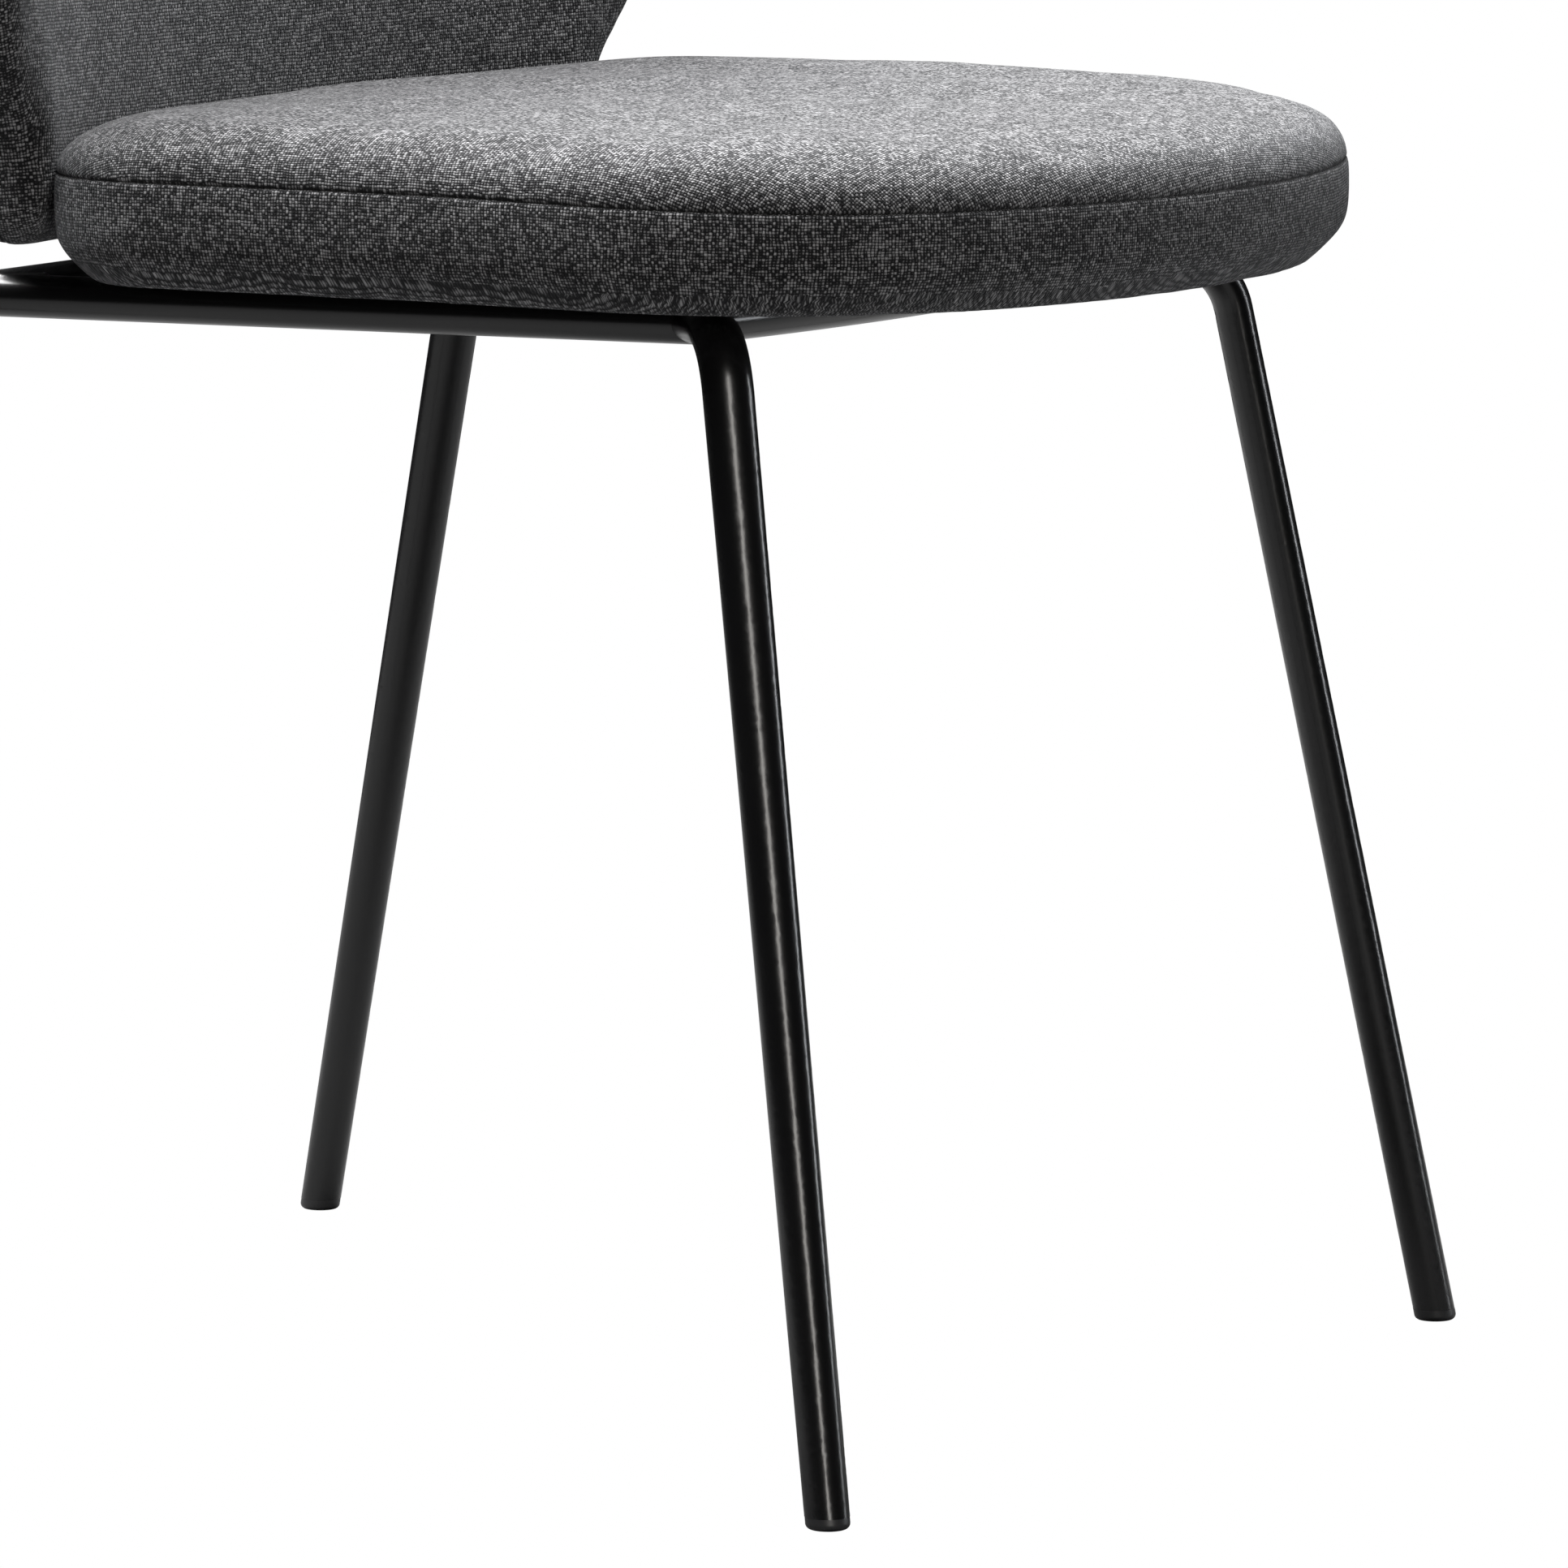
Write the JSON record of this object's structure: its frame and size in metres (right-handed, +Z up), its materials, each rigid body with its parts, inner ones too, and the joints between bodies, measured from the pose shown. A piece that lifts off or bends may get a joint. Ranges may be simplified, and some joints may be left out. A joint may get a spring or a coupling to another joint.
{
  "type": "dining chair",
  "caption": "Upholstered dining chair: padded seat with rounded front, padded back wrapping the seat's rear, on splayed black bent-tube legs under a welded tube frame.",
  "frame": {"origin": "on the floor at the middle of the chair's bounding box", "axes": "+Z up, -Y the way the sitter faces, +X to the sitter's left"},
  "size_m": [0.5368, 0.5625, 0.7913],
  "materials": {
    "frame_paint": "gloss black powder coat",
    "black_plastic": "satin moulded",
    "upholstery_fabric": "coarse two-tone charcoal weave",
    "dust_cloth": "matt non-woven",
    "foam": "open-cell foam",
    "plywood": "raw moulded plywood",
    "zinc_steel": "zinc plated"
  },
  "bodies": {
    "root": {"back_bolts": "zinc_steel", "back_bracket_left": "frame_paint", "back_bracket_right": "frame_paint", "back_edge_band": "upholstery_fabric", "back_front_cover": "upholstery_fabric", "back_front_foam": "foam", "back_ply_shell": "plywood", "back_rear_cover": "upholstery_fabric", "back_rear_foam": "foam", "back_tee_nuts": "zinc_steel", "back_washers": "zinc_steel", "front_cross_bar": "frame_paint", "front_foot_cap_left": "black_plastic", "front_foot_cap_right": "black_plastic", "front_leg_left": "frame_paint", "front_leg_right": "frame_paint", "rear_cross_bar": "frame_paint", "rear_foot_cap_left": "black_plastic", "rear_foot_cap_right": "black_plastic", "rear_leg_left": "frame_paint", "rear_leg_right": "frame_paint", "seat_board": "plywood", "seat_dust_cloth": "dust_cloth", "seat_foam": "foam", "seat_screws": "zinc_steel", "seat_side_band": "upholstery_fabric", "seat_tabs": "frame_paint", "seat_tee_nuts": "zinc_steel", "seat_top_cover": "upholstery_fabric", "seat_washers": "zinc_steel", "side_rail_left": "frame_paint", "side_rail_right": "frame_paint", "stub_plugs": "black_plastic"}
  },
  "joints": []
}
